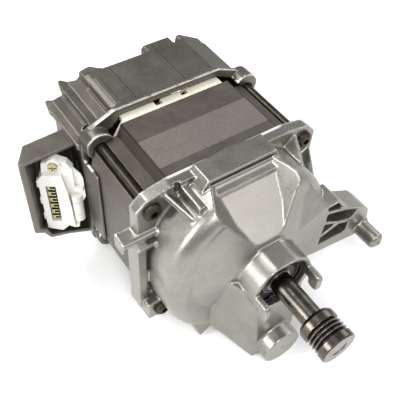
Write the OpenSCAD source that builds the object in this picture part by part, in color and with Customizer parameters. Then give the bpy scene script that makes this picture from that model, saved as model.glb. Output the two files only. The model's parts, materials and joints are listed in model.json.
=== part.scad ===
// Universal commutator motor of a washing machine, lying with its shaft along Y.
// The origin is on the shaft axis at the front face of the belt pulley, which looks along -Y.
// Inside the modules the shaft axis is Z, X is to the right, Y is up, and every depth is
// measured from the front face of the pulley towards the back of the motor.

/* [Shaft and belt pulley] */
// Diameter of the bare shaft between the hub and the pulley
shaft_d = 13; // [11:0.5:14]
// Outer diameter of the ribbed belt pulley
pulley_d = 21.8; // [20:0.2:25]
// Length of the pulley along the shaft
pulley_len = 20; // [18:0.5:24]
// Number of belt grooves
groove_count = 4; // [3:1:5]
// Distance from groove to groove
groove_pitch = 2.34; // [2:0.02:2.4]
// Plain collar in front of the first groove
front_collar = 4.4; // [3:0.2:5]

/* [Stator pack] */
// Overall width of the stator laminations
stator_w = 114.2; // [113.4:0.2:115]
// Overall height of the stator laminations
stator_h = 100.8; // [100:0.2:101.6]
// Width of the flat on top and below
flat_w = 73; // [70:1:75]
// Height of the flat on each side
side_flat_h = 55; // [50:1:58]
// Depth of the front face of the pack
stack_front = 104.7; // [104.4:0.1:105]
// Length of the pack
stack_len = 51; // [48:1:54]
// Diameter of the hole that the rotor turns in
bore_d = 59; // [58.6:0.2:61]

/* [Through bolts] */
// Sideways distance from the shaft to a bolt
bolt_x = 50.5; // [50:0.1:51]
// Upright distance from the shaft to a bolt
bolt_y = 40.8; // [40.4:0.1:41.2]
// Diameter of a bolt
bolt_d = 5; // [4:0.5:5.5]
// Diameter of a bolt head
bolt_head_d = 10.6; // [9:0.2:11]
// Depth of the seats of the two upper bolt heads
seat_top = 100; // [99:0.5:101]
// Depth of the seats of the two lower bolt heads
seat_low = 91; // [90:0.5:93]

/* [Drive end shield] */
// Depth of the front face of the hub
hub_face = 46; // [45:0.5:47]
// Outer diameter of the hub
hub_d = 40; // [39:0.5:42]
// Outer diameter of the round drum of the shield
drum_d = 109; // [107:1:110]
// Depth at which the front shoulder of the drum ends
drum_front = 71.5; // [70.5:0.5:72.5]
// Wall thickness of the casting
wall = 3.2; // [2.8:0.2:3.4]
// Distance of the flange edge outside the sides of the stator
flange_over = 2.4; // [2:0.2:2.8]
// Height of the top of the air hood over the shaft
hood_h = 55; // [54:0.5:56]
// Half width of the flat top of the air hood
hood_half = 22; // [20:0.5:23]

/* [Mounting points] */
// Sideways distance from the shaft to the side peg
peg_x = 83.5; // [80:0.5:88]
// Distance of the side peg below the shaft
peg_drop = 24.5; // [22:0.5:27]
// Diameter of the side peg
peg_d = 11.4; // [10:0.2:12]
// Free length of the side peg
peg_len = 16; // [12:0.5:18]
// Depth of the front plane of the side arm
arm_front = 64; // [63:0.5:66]
// Distance of the foot boss below the shaft
boss_drop = 54; // [53:0.5:55]
// Diameter of the foot boss
boss_d = 25.8; // [24:0.2:27]
// Depth of the front face of the foot boss
boss_face = 34; // [33:0.5:36]

/* [Commutator end shield] */
// Depth of the top front edge of the rear shield
rear_rim = 161; // [160:0.5:162]
// Depth of the back face of the rear shield
rear_end = 199; // [198:0.5:201]
// Half width of the rear shield
rear_half_w = 58.5; // [58.2:0.1:59]
// Depth of the front plane of the corner lugs
lug_front = 154; // [153:0.5:154.5]
// Depth of the open front of the connector pocket
pocket_front = 171; // [170.5:0.5:172]
// Sideways reach of the connector pocket from the shaft
pocket_reach = 93.5; // [93:0.5:95]
// Height of the roof of the connector pocket
pocket_top = 34; // [33:0.5:34.5]
// Distance of the pocket floor below the shaft
pocket_low = 36; // [35:0.5:38]

/* [Bearings] */
// Outer diameter of the front ball bearing
front_brg_d = 35; // [34:0.5:35]
// Shaft diameter in the front ball bearing
front_brg_bore = 15; // [14.5:0.5:15.5]
// Width of the front ball bearing
front_brg_w = 11; // [10:0.5:11]
// Outer diameter of the rear ball bearing
rear_brg_d = 28; // [27:0.5:30]
// Shaft diameter in the rear ball bearing
rear_brg_bore = 12; // [11.5:0.5:12.5]
// Width of the rear ball bearing
rear_brg_w = 8; // [7:0.5:8]
// Number of balls in each bearing
ball_count = 8; // [6:1:8]

/* [Rotor and brush gear] */
// Gap between the rotor and the stator bore
air_gap = 0.6; // [0.4:0.1:0.9]
// Number of slots in the rotor core
rotor_slots = 12; // [8:1:16]
// Diameter of the commutator
comm_d = 34.4; // [32:0.4:36]
// Length of the commutator
comm_len = 22; // [20:1:23]
// Number of commutator bars
comm_bars = 24; // [12:1:28]
// Height of a carbon brush across the motor
brush_h = 6.4; // [5:0.2:8]
// Width of a carbon brush along the shaft
brush_w = 12.4; // [10:0.2:13]
// Number of fan blades
fan_blades = 12; // [8:1:16]
// Outer diameter of the fan
fan_d = 70; // [64:1:71]

/* [Connector] */
// Number of brass terminals in the column
terminal_count = 6; // [4:1:7]
// Angle of the connector face to the back of the motor
connector_turn = 34; // [32:1:36]

/* [Hidden] */
$fn = 64;
cut = 0.5;
snug = 0.02;
run_gap = 0.3;
stack_rear = stack_front + stack_len;
flange_rear = stack_front + 2.9;
front_alloy = [0.72, 0.71, 0.68];
rear_alloy = [0.47, 0.46, 0.43];
steel = [0.55, 0.54, 0.52];
dark_steel = [0.22, 0.21, 0.19];
copper = [0.62, 0.33, 0.16];

// The shaft axis is turned from Z to Y, with the pulley towards -Y
module lay_down() rotate([90, 0, 0]) children();

// A flat outline made solid between two depths
module slab(from, to) translate([0, 0, -to]) linear_extrude(to - from) children();

// A round disc between two depths
module disc(r, from, to) translate([0, 0, -to]) cylinder(h = to - from, r = r);

// A flat ring between two depths
module ring(ro, ri, from, to) difference() {
  disc(ro, from, to);
  disc(ri, from - cut, to + cut);
}

// A plan outline in X and depth, made solid between two heights
module plan(low, high) translate([0, high, 0]) rotate([90, 0, 0])
  linear_extrude(high - low) children();

// A side outline in depth and height, made solid between two X values
module side(left, right) translate([left, 0, 0]) rotate([0, 90, 0])
  linear_extrude(right - left) children();

module both_sides() {
  children();
  mirror([1, 0, 0]) children();
}

module four_corners() {
  both_sides() {
    children();
    mirror([0, 1, 0]) children();
  }
}

// A quarter outline, listed from the right side up to the top, carried round all four corners
function all_round(q) = concat(
  q, [for (i = [len(q) - 1 : -1 : 0]) [-q[i][0], q[i][1]]],
  [for (p = q) [-p[0], -p[1]]], [for (i = [len(q) - 1 : -1 : 0]) [q[i][0], -q[i][1]]]
);

// Outline of the stator laminations, with a shoulder and a bolt groove at each corner
shoulder_y = stator_h / 2 - 7.6;
lip_x = stator_w / 2 - 2.8;
lip_y = stator_h / 2 - 9.1;
groove_r = bolt_d / 2 + 1;
module bolt_groove() translate([bolt_x, bolt_y]) {
  circle(r = groove_r);
  rotate(50) translate([0, -groove_r]) square([12, 2 * groove_r]);
}
module stator_outline() difference() {
  polygon(all_round([
    [stator_w / 2, side_flat_h / 2], [lip_x, lip_y], [bolt_x - groove_r + 0.3, shoulder_y - 0.4],
    [flat_w / 2 + 3, shoulder_y], [flat_w / 2, stator_h / 2]
  ]));
  four_corners() bolt_groove();
}

// Outline of a shield flange round the stator, with its corners cut off at the bolts
flange_x = stator_w / 2 + flange_over;
flange_y = stator_h / 2 + 1.4;
module flange_outline(over = 0) polygon(all_round([
  [flange_x + over, bolt_y + 2.2 + over / 2], [bolt_x + 2.5 + over / 2, bolt_y + 8.2 + over / 2],
  [flat_w / 2 + 2, flange_y + over]
]));

// Opening that the stator pack sits in, a little wider than the pack
pack_play = 0.15;
module pack_seat() polygon(all_round([
  [stator_w / 2 + pack_play, side_flat_h / 2], [lip_x + 2 * pack_play, lip_y + 4 * pack_play],
  [flat_w / 2 + 3.2, shoulder_y + 4 * pack_play], [flat_w / 2 + 0.2, stator_h / 2 + pack_play]
]));

// The drum of the drive end shield, turned round the shaft
shoulder_r = 9;
hub_root = 61;
module drum_shape(r, front, back) rotate_extrude($fn = 96) union() {
  polygon([
    [0, -back], [r, -back], [r, -front - shoulder_r], [r - shoulder_r, -front],
    [hub_d / 2 + 0.5, -hub_root], [0, -hub_root]
  ]);
  translate([r - shoulder_r, -front - shoulder_r]) circle(r = shoulder_r);
}

// The hollow of the drum, one wall inside it
module drum_hollow(r, front) rotate_extrude($fn = 96) polygon([
  [0, -flange_rear - cut], [r - wall, -flange_rear - cut], [r - wall, -front - shoulder_r],
  [r - shoulder_r, -front - wall], [bearing_seat_r + 1, -front - wall + 3],
  [bearing_seat_r - 3, -front - wall + 3], [0, -front - wall + 3]
]);

// A solid drawn through outlines that lie at rising depths and have equally many points
module loft(depths, outlines) {
  n = len(outlines[0]);
  last = len(depths) - 1;
  polyhedron(
    points = [for (i = [0 : last]) each [for (p = outlines[i]) [p[0], p[1], -depths[i]]]],
    faces = concat(
      [[for (k = [n - 1 : -1 : 0]) k]],
      [for (i = [0 : last - 1]) for (k = [0 : n - 1]) each let (m = (k + 1) % n, a = i * n, b = a + n)
        [[a + k, a + m, b + m], [a + k, b + m, b + k]]],
      [[for (k = [0 : n - 1]) last * n + k]]
    )
  );
}

// The sloped recess that runs from the hood down to the hub, with evenly leaning side walls:
// depth and half width of its floor
hub_flat = 19.1;
slope = 0.953;
recess = [[57, 3.5], [65, 11], [73, 15.2], [86, 18.1], [97, 20.2]];
recess_half = recess[4][1];
lean_run = 20;
lean_rise = 19.3;
sky = 90;
function slope_y(depth) = hub_flat + 1.3 + (depth - 60) * slope;
function recess_outline(at, lower) = let (
  floor = at[1] + lower * 0.6, y = slope_y(at[0]) - lower, out = floor + lean_run
) [[-floor, y], [floor, y], [out, y + lean_rise], [out, sky], [-out, sky], [-out, y + lean_rise]];
module slope_recess(lower = 0) loft(
  [for (at = recess) at[0]], [for (at = recess) recess_outline(at, lower)]
);

// The air hood over the stator edge, a trapezoid in front view, open to the front
hood_back = 105;
hood_front = 90.4;
ledge_front = 85.7;
module hood_outline(inset = 0) polygon([
  [-hood_half - 5, 40], [-hood_half - 5, 46], [-hood_half + inset / 2, hood_h - inset],
  [hood_half - inset / 2, hood_h - inset], [hood_half + 5, 46], [hood_half + 5, 40]
]);

// The tapered column from the hub down to the foot boss
column_half = 17.4;
column_low = boss_drop + boss_d / 2;
boss_root = hub_face - 3;
module column() {
  hull() {
    slab(hub_face + 1, hub_face + 3) polygon([
      [-column_half, 0], [column_half, 0], [column_half, 2 - boss_drop],
      [column_half - 1.2, -boss_drop - 7.5], [boss_d / 2, -column_low - 1.6],
      [-boss_d / 2, -column_low - 1.6], [1.2 - column_half, -boss_drop - 7.5],
      [-column_half, 2 - boss_drop]
    ]);
    slab(boss_root, hub_face) translate([0, -boss_drop]) circle(r = boss_d / 2 + 0.5, $fn = 32);
    slab(boss_root + 1, hub_face) polygon([
      [-boss_d / 2 - 1, -boss_drop - 4], [boss_d / 2 + 1, -boss_drop - 4],
      [boss_d / 2 + 1, -column_low - 1], [-boss_d / 2 - 1, -column_low - 1]
    ]);
    slab(74, 78) polygon([
      [-30, 0], [30, 0], [29, -54], [20, -column_low + 1], [-20, -column_low + 1], [-29, -54]
    ]);
  }
}

// The round belly of the drum, lower than the shaft
belly_drop = 12.2;
belly_r = drum_d / 2 + 0.5;
module belly(r, front, back) intersection() {
  translate([0, -belly_drop, 0]) children();
  translate([-70, -column_low + (belly_r - r), -back]) cube([140, 80, back - front]);
}

// The side arm, blended into the drum, with pockets between thin webs that open to the front
arm_back = 80;
arm_edge = [
  [43, 19], [54, 19], [64, 6.5], [peg_x - 4, -2], [peg_x + 2, -8],
  [peg_x + 4, -peg_drop + 8], [peg_x + 4, -peg_drop - 4], [peg_x - 3, -peg_drop - 7], [42, -25]
];
module side_arm() {
  slab(arm_front, arm_back) polygon(arm_edge);
  hull() {
    slab(arm_front, arm_back) polygon([[42, 19], [46, 19], [46, -24], [42, -25]]);
    slab(hub_root + 1.5, hub_root + 6) polygon([[16, 10], [20, 6], [20, -14], [14, -16]]);
    slab(73, arm_back) polygon([[28, 32], [34, 38], [44, 22], [46, 0], [28, 0]]);
  }
}
module arm_pockets() {
  polygon([[45, 17.6], [53, 17.6], [60, 8.5], [47, 13.5]]);
  polygon([[46.5, 11], [62, 5.2], [peg_x - 9, -1.5], [peg_x - 13, -8], [60, -4], [47, 4]]);
  polygon([[46.5, 1.4], [58, -4.6], [46, -9]]);
  polygon([[46, -11], [60, -6.5], [peg_x - 14, -11], [peg_x - 15, -20], [46, -18.5]]);
}

// The round side peg with a chamfered tip
tip = 1.6;
module side_peg() translate([peg_x, -peg_drop, -arm_front - 1]) {
  cylinder(h = peg_len + 1 - tip, d = peg_d);
  translate([0, 0, peg_len + 1 - tip]) cylinder(h = tip, d1 = peg_d, d2 = peg_d - 2 * tip);
  translate([0, 0, peg_len + 1]) cylinder(h = 1.4, d1 = 4.6, d2 = 3);
  cylinder(h = 2, d1 = peg_d + 4, d2 = peg_d);
}

// The two round-tipped tabs on the face of the hub, with an undercut below
tab_len = 10.5;
tab_r = 2.8;
tab_top = 4;
tab_low = -8;
module hub_tabs() both_sides() intersection() {
  slab(hub_face - tab_len, hub_face + 1) translate([hub_d / 2 - 3.6, tab_low])
    square([3.6, tab_top - tab_low]);
  side(hub_d / 2 - 5, hub_d / 2 + 1) translate([hub_face - tab_len + tab_r, 0]) {
    for (y = [tab_low + tab_r, tab_top - tab_r]) translate([0, y]) circle(r = tab_r);
    translate([2, tab_low + tab_r]) circle(r = tab_r);
    translate([-tab_r, tab_low + tab_r]) square([2 * tab_r + 2, tab_top - tab_low - 2 * tab_r]);
    translate([0, tab_low]) square([2, tab_top - tab_low]);
    translate([0, tab_low + 5]) square([tab_len, tab_top - tab_low - 5]);
  }
}

// Gussets between the drum and the flange, two on the right and one on the left
gusset_t = 2.6;
gusset_front = drum_front + 10;
rib_back = flange_rear - 3.6;
module gusset(angle, reach) rotate([0, 0, angle - 90]) side(-gusset_t / 2, gusset_t / 2) polygon([
  [gusset_front, drum_d / 2 - 4], [gusset_front, drum_d / 2 - 0.4], [seat_top, drum_d / 2 + reach],
  [rib_back, drum_d / 2 + reach], [rib_back, drum_d / 2 - 4]
]);
module drum_ribs() {
  gusset(47, 11);
  gusset(28, 11.5);
  mirror([1, 0, 0]) gusset(48.5, 11.5);
}

// Seats for the bolt heads, posts below and pads above
module lower_posts() both_sides() translate([bolt_x, -bolt_y, 0]) {
  disc(7.4, seat_low, flange_rear - 2);
  slab(seat_low, flange_rear - 2) translate([0, -7.4]) square([9, 14.8]);
}

// The cable rail on the left edge of the flange, with a small plate below it
rail_y = 23.5;
module cable_rail() {
  translate([-69.5, rail_y, -flange_rear + 8.3]) rotate([0, 90, 0]) cylinder(h = 31.5, r = 2.3);
  translate([-69.5, rail_y - 2.3, -flange_rear]) cube([31.5, 4.6, 8.3]);
  translate([-62, rail_y - 6.2, -flange_rear]) cube([15, 2.4, 13]);
  translate([-69.5, rail_y - 7.6, -flange_rear]) cube([3, 7.6, 8.3]);
  translate([-62, -bolt_y, -flange_rear]) cube([6, bolt_y + rail_y, 11]);
}

// The fin under the belly that locates the motor
module foot_fin() slab(73, 80) polygon([[-41, -44], [-24, -54], [-26, -63], [-33, -67.5]]);

bearing_seat_r = front_brg_d / 2;
bearing_front = hub_face + 4;
bearing_back = bearing_front + front_brg_w;
circlip_front = bearing_front - 1.6;
circlip_t = 1.2;

module drive_end_shield() color(front_alloy) lay_down() difference() {
  union() {
    difference() {
      union() {
        slab(seat_top, flange_rear) flange_outline();
        drum_shape(drum_d / 2, drum_front, flange_rear - 1);
        belly(belly_r, drum_front - 1, 103) drum_shape(belly_r, drum_front - 1, 103);
        column();
        lower_posts();
        drum_ribs();
        side_arm();
      }
      slope_recess();
      both_sides() translate([bolt_x, -bolt_y, 0]) disc(bolt_head_d / 2 + 0.8, 60, seat_low);
      both_sides() translate([bolt_x, bolt_y, 0]) disc(bolt_head_d / 2 + 0.8, 60, seat_top);
    }
    disc(hub_d / 2, hub_face, hub_root + 6);
    hub_tabs();
    translate([0, -boss_drop, 0]) disc(boss_d / 2, boss_face, boss_root + cut);
    slab(hood_front, hood_back) hood_outline();
    side(-recess_half, recess_half) polygon([
      [hood_front + 6, 40], [hood_front + 6, 51], [ledge_front, 46.6], [ledge_front, 40]
    ]);
    translate([-33, 40, -106]) cube([4, 9, 24]);
    side_peg();
    cable_rail();
    foot_fin();
  }
  // Hub bore for the bearing, open to the front, with a groove for the circlip
  translate([0, 0, 0]) disc(bearing_seat_r, hub_face - cut, bearing_back);
  disc(bearing_seat_r + 0.8, circlip_front - 0.1, circlip_front + circlip_t + 0.1);
  disc(bearing_seat_r - 3, bearing_back - cut, 75);
  translate([-20, hub_flat, -hub_root - 1]) cube([40, 10, 60]);
  // Hollow of the drum, kept one wall away from the sloped recess
  difference() {
    union() {
      drum_hollow(drum_d / 2, drum_front);
      belly(belly_r - wall, drum_front + wall, 103)
        drum_shape(belly_r - wall, drum_front + wall + 3, 103);
    }
    slope_recess(wall * 1.4);
    disc(bearing_seat_r + wall, 50, bearing_back + wall);
  }
  // Seat of the stator pack
  slab(stack_front, flange_rear + cut) pack_seat();
  // Air slot under the front edge of the hood
  slab(hood_front - cut, 99) translate([-hood_half + 1.5, 50.6]) square([2 * hood_half - 3, 2]);
  slab(95, 99) translate([-hood_half + 3, 40]) square([2 * hood_half - 6, 12]);
  // Gap beside the rib, pocket between the hub and the foot boss, mark in the boss face
  slab(84, seat_top + 2) translate([-36.2, 43.5]) square([3.2, 20]);
  slab(hub_face, hub_face + 13) polygon([[3, -21], [14, -18], [14, -39], [5, -41]]);
  translate([0, -boss_drop, 0]) disc(1.2, boss_face - cut, boss_face + 4);
  slab(arm_front - cut, arm_back - 4) arm_pockets();
  four_corners() translate([bolt_x, bolt_y, 0]) disc(bolt_d / 2 + 0.2, 80, flange_rear + cut);
}

// Front view of the rear shield: louvres on the left corner, a plain chamfer on the right
rear_top = stator_h / 2 + 4.6;
rear_low = -stator_h / 2 - 3.1;
vane_x = [for (in = [22, 21, 14.5, 8.2, 2.5, -3.1]) in - rear_half_w];
louvre = [
  [vane_x[0], rear_top - 1], [vane_x[1], 53.4], [vane_x[1], 51], [vane_x[2], 46.4],
  [vane_x[3], 46.8], [vane_x[3], 44.2], [vane_x[4], 39.6], [vane_x[5], 39.2], [vane_x[5], 36.4]
];
right_edge = [
  [32.5, rear_top], [rear_half_w - 9, 46], [rear_half_w, 29], [rear_half_w, -44],
  [rear_half_w - 7.5, rear_low]
];
left_low = [[-rear_half_w, 34], [-rear_half_w, -44], [7.5 - rear_half_w, rear_low]];
module rear_outline() polygon(concat([[-34, rear_top]], right_edge, [for (i = [2 : -1 : 0]) left_low[i]],
  [for (i = [len(louvre) - 1 : -1 : 0]) louvre[i]]));
module rear_hollow() polygon([
  [-34, rear_top - wall], [31.5, rear_top - wall], [rear_half_w - wall - 8.7, 44],
  [rear_half_w - wall, 28.2], [rear_half_w - wall, -42.6], [rear_half_w - 9.1, rear_low + wall],
  [9.1 - rear_half_w, rear_low + wall], [wall - rear_half_w, -42.6], [wall - rear_half_w, 33],
  [12.5 - rear_half_w, 41.5], [22.5 - rear_half_w, 47.5]
]);

// The louvre skin reaches past the back in a zigzag of three pointed tips
module louvre_tips() intersection() {
  slab(rear_end - cut, rear_end + 16) polygon(concat([[-24, rear_top]], louvre, [
    [vane_x[4], 36.6], [vane_x[3], 41.4], [vane_x[2], 43.4], [vane_x[1], 48], [-24, rear_top - 3]
  ]));
  plan(20, 80) polygon([for (p = [
    [34.5, 0], [28.5, 6.5], [26.5, 6.5], [18.8, 5], [11.9, 13], [10.1, 13], [8.2, 3], [6.5, 4],
    [-0.1, 8.6], [-1.5, 8], [-3.3, -2], [-3.3, -8], [34.5, -8]
  ]) [p[0] - rear_half_w, -rear_end - p[1]]]);
}

// The raised block and the corner band at the back of the right side
module rear_block() {
  slab(rear_end - cut, rear_end + 7) difference() {
    translate([6, rear_top - 11]) square([20, 11]);
    translate([6, rear_top]) circle(r = 2, $fn = 4);
  }
  slab(rear_end - cut, rear_end + 6) polygon([
    [29.5, rear_top - 8], [31, rear_top - 0.6], [33, rear_top], [rear_half_w - 10, 46.5],
    [rear_half_w - 13.5, 43]
  ]);
}

// The pocket on the left of the rear shield that holds the connector
pocket_back = 186;
pocket_wall = 3.8;
module pocket_front_view(inset = 0) polygon([
  [-57, pocket_top - inset * 0.6], [-pocket_reach + inset, pocket_top - inset * 0.6],
  [-pocket_reach - 0.5 + inset, -pocket_low + 9 + inset * 0.6],
  [-pocket_reach + 5.5 + inset * 0.6, -pocket_low + 5 + inset * 0.6],
  [-pocket_reach + 9 + inset * 0.4, -pocket_low - 2 + inset * 0.7],
  [-pocket_reach + 21.5, -pocket_low - 6.5 + inset * 0.7], [-57, -50 + inset]
]);
module pocket_plan(inset, front) polygon([
  [-56, -front], [-pocket_reach - 1 + inset, -front],
  [-pocket_reach + 8.2 + inset, -pocket_back + 1.3 + inset * 0.7], [-56, -pocket_back + inset * 0.7]
]);
module connector_pocket(inset, front) intersection() {
  slab(front, pocket_back + 1) pocket_front_view(inset);
  plan(-60, 40) pocket_plan(inset, front);
}

// The rough rim around the front edge, proud of the walls
rim_wide = 1;
rim_x = rear_half_w + rim_wide;
module rear_rim_band() slab(rear_rim, rear_rim + 3.4) polygon([
  [6 - rim_x, 49], [-37, rear_top + rim_wide], [34, rear_top + rim_wide], [rim_x - 6.5, 47.5],
  [rim_x, 40], [rim_x, -44.5], [rim_x - 8, rear_low - rim_wide], [8 - rim_x, rear_low - rim_wide],
  [-rim_x, -44.5], [-rim_x, 40]
]);

// Tongues beside the stator pack, on a foot that starts in the side wall
tongue_t = 1.9;
module side_tongues() both_sides() plan(-30, 28) polygon([
  [stator_w / 2 + pack_play, -rear_rim + 16], [stator_w / 2 + pack_play + tongue_t, -rear_rim + 16],
  [max(stator_w / 2 + pack_play + tongue_t, rear_half_w), -rear_rim - 3.4],
  [rear_half_w - wall + cut, -rear_rim - 3.4], [rear_half_w - wall + cut, -rear_rim],
  [stator_w / 2 + pack_play, -rear_rim]
]);

// Corner lugs round the bolts, rounded off
lug_r = 8.4;
module corner_lugs() intersection() {
  slab(lug_front, rear_rim + 4) four_corners() translate([bolt_x, bolt_y]) circle(r = lug_r);
  slab(lug_front - cut, rear_rim + 5) flange_outline(0.6);
}

rear_seat_r = rear_brg_d / 2;
rear_brg_front = 193;
rear_brg_back = rear_brg_front + rear_brg_w;
module rear_end_shield() color(rear_alloy) lay_down() difference() {
  union() {
    slab(rear_rim + 2, rear_end) rear_outline();
    rear_rim_band();
    corner_lugs();
    side_tongues();
    louvre_tips();
    rear_block();
    connector_pocket(0, pocket_front);
    disc(rear_seat_r + 4, rear_brg_front - 2, rear_end + 6);
    both_sides() translate([24, rear_low - 1.2, -rear_end]) cube([8, 12, 26]);
    // Low strip beside the first louvre
    translate([-33.6, rear_top - 1, -rear_end + 6]) cube([3.4, 1.7, 26]);
  }
  // Hollow for the commutator and the brush gear
  slab(rear_rim - 20, rear_end - wall) rear_hollow();
  slab(lug_front - cut, stack_rear) pack_seat();
  // Connector pocket, open to the front, with a window for the leads
  connector_pocket(pocket_wall, pocket_front - cut);
  translate([-64, -12, -pocket_front - 9]) cube([12, 24, 8]);
  // Louvre slots under the edge of each vane
  for (v = [[1, 49.6, 164.5, 191.5], [3, 43, 170, 201], [5, 35.4, 158, 196.5]])
    translate([vane_x[v[0]] - 0.9, v[1], -v[3]]) cube([1.4, 4.4, v[3] - v[2]]);
  // Mould lines on the top and a small hole in the end of the raised block
  for (x = [-17.5, 14]) translate([x, rear_top - 0.3, -rear_end + 8]) cube([0.5, 1, 28]);
  translate([5, rear_top - 5, -rear_end - 4]) rotate([0, 90, 0]) cylinder(h = 5, r = 1.3);
  // Bearing seat
  disc(rear_seat_r, rear_brg_front - 3, rear_brg_back);
  disc(rear_seat_r - 4, rear_brg_back - cut, rear_end + 10);
  // Air slots in the back wall
  for (a = [30 : 30 : 150]) for (turn = [0, 180]) rotate([0, 0, a + turn])
    slab(rear_end - 6, rear_end + cut) translate([24, -3.5]) square([20, 7]);
  // Blind holes for the through bolts
  four_corners() translate([bolt_x, bolt_y, 0]) disc(bolt_d / 2 + 0.2, lug_front - cut, 172);
}

module stator_core() color([0.40, 0.37, 0.33]) lay_down() slab(stack_front, stack_rear)
  difference() {
    stator_outline();
    circle(d = bore_d);
    both_sides() coil_window();
  }

// The window at each side of the bore that the sides of both field coils lie in
window_r = drum_d / 2 - wall - 5.3;
window_angle = 38;
module sector(r, from, to) polygon([
  [0, 0], for (i = [0 : 6]) let (a = from + (to - from) * i / 6) r * [cos(a), sin(a)]
]);
module coil_window() intersection() {
  circle(r = window_r);
  sector(2 * window_r, -window_angle, window_angle);
}

coil_ri = bore_d / 2 + 2.4;
coil_ro = window_r - 0.8;
coil_front = 92;
coil_rear = stack_rear + 10;
module coil_side() difference() {
  intersection() {
    circle(r = coil_ro);
    sector(2 * coil_ro, 3, window_angle - 2);
  }
  circle(r = coil_ri);
}
module coil_head() difference() {
  intersection() {
    circle(r = coil_ro);
    translate([-coil_ro, 2]) square([2 * coil_ro, coil_ro]);
  }
  circle(r = coil_ri + 1);
}
module field_coil() {
  slab(coil_front, coil_rear) both_sides() coil_side();
  slab(coil_front, stack_front - 1.6) coil_head();
  slab(stack_rear + frame_t + 0.1, coil_rear) coil_head();
}
module field_coil_upper() color(copper) lay_down() field_coil();
module field_coil_lower() color(copper) lay_down() mirror([0, 1, 0]) field_coil();

// Insulating end frames between the stator pack and the coil heads
frame_t = 3.6;
module coil_insulation() color([0.93, 0.90, 0.80]) lay_down() {
  slab(stack_front - 1.5, stack_front) difference() {
    circle(r = window_r + 1);
    circle(d = bore_d + 1);
    both_sides() coil_window();
  }
  slab(stack_rear, stack_rear + frame_t) difference() {
    polygon(all_round([
      [window_r + 6, 22], [flat_w / 2 - 3, stator_h / 2 - 1]
    ]));
    circle(d = bore_d + 1);
    both_sides() coil_window();
  }
  // Lips along the top and bottom of the rear frame, notched for the coil leads
  both_sides() slab(stack_rear, rear_rim + 2.5) for (part = [[0, 6.5], [11, flat_w / 2 - 3]])
    translate([part[0], stator_h / 2 - 4]) square([part[1] - part[0], 3]);
}

// Button head with a six-sided socket, on a shank that reaches the rear shield
head_h = 3.6;
module through_bolt(seat) {
  difference() {
    union() {
      disc(bolt_head_d / 2, seat - head_h + 1.4, seat);
      translate([0, 0, -seat + head_h - 1.4])
        cylinder(h = 1.4, d1 = bolt_head_d, d2 = bolt_head_d - 4);
    }
    translate([0, 0, -seat + 1]) cylinder(h = head_h, d = 4.4, $fn = 6);
  }
  disc(bolt_d / 2, seat - 0.1, 170);
}
module through_bolts() color(dark_steel) lay_down() both_sides() {
  translate([bolt_x, bolt_y, 0]) through_bolt(seat_top);
  translate([bolt_x, -bolt_y, 0]) through_bolt(seat_low);
}

// Retaining ring with two eyes, opening downwards
clip_eye_r = 2;
module bearing_circlip() color(dark_steel) lay_down()
  slab(circlip_front, circlip_front + circlip_t) difference() {
    union() {
      difference() {
        circle(r = bearing_seat_r + 0.6);
        circle(r = bearing_seat_r - 2.6);
        sector(2 * bearing_seat_r, -100, -80);
      }
      for (a = [-104, -76]) rotate(a) translate([bearing_seat_r - 3.4, 0])
        circle(r = clip_eye_r);
    }
    for (a = [-104, -76]) rotate(a) translate([bearing_seat_r - 3.4, 0]) circle(r = 0.9);
  }

// Ball bearings: pitch circle, ball and race sizes follow from the ring diameters
function pitch_r(d, bore) = (d + bore) / 4;
function ball_r(d, bore) = (d - bore) * 0.155;
race_gap = 0.12;
module outer_ring(d, bore, from, w) {
  p = pitch_r(d, bore);
  b = ball_r(d, bore);
  difference() {
    ring(d / 2, p + b * 0.6, from, from + w);
    rotate_extrude() translate([p, -from - w / 2]) circle(r = b + race_gap);
  }
}
module inner_ring(d, bore, from, w) {
  p = pitch_r(d, bore);
  b = ball_r(d, bore);
  difference() {
    ring(p - b * 0.6, bore / 2 + snug, from, from + w);
    rotate_extrude() translate([p, -from - w / 2]) circle(r = b + race_gap);
  }
}
module ball_set(d, bore, from, w) {
  p = pitch_r(d, bore);
  b = ball_r(d, bore);
  translate([0, 0, -from - w / 2]) {
    for (i = [0 : ball_count - 1]) rotate([0, 0, i * 360 / ball_count])
      translate([p, 0, 0]) sphere(r = b);
    rotate_extrude() translate([p - b * 0.4, -b * 0.45]) square([b * 0.8, b * 0.9]);
  }
}
module front_bearing_outer() color(steel) lay_down()
  outer_ring(front_brg_d - 2 * snug, front_brg_bore, bearing_front, front_brg_w);
module front_bearing_inner() color(steel) lay_down()
  inner_ring(front_brg_d, front_brg_bore, bearing_front, front_brg_w);
module front_bearing_balls() color("silver") lay_down()
  ball_set(front_brg_d, front_brg_bore, bearing_front, front_brg_w);
module rear_bearing_outer() color(steel) lay_down()
  outer_ring(rear_brg_d - 2 * snug, rear_brg_bore, rear_brg_front, rear_brg_w);
module rear_bearing_inner() color(steel) lay_down()
  inner_ring(rear_brg_d, rear_brg_bore, rear_brg_front, rear_brg_w);
module rear_bearing_balls() color("silver") lay_down()
  ball_set(rear_brg_d, rear_brg_bore, rear_brg_front, rear_brg_w);

// Thin rubber seals in the mouths of both bearings
seal_t = 0.7;
module seal_pair(d, bore, from, w) {
  p = pitch_r(d, bore);
  b = ball_r(d, bore);
  for (at = [from + 0.2, from + w - 0.2 - seal_t])
    ring(p + b * 0.6 - snug, p - b * 0.6 + run_gap, at, at + seal_t);
}
module bearing_seals() color([0.12, 0.12, 0.12]) lay_down() {
  seal_pair(front_brg_d, front_brg_bore, bearing_front, front_brg_w);
  seal_pair(rear_brg_d, rear_brg_bore, rear_brg_front, rear_brg_w);
}

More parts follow.
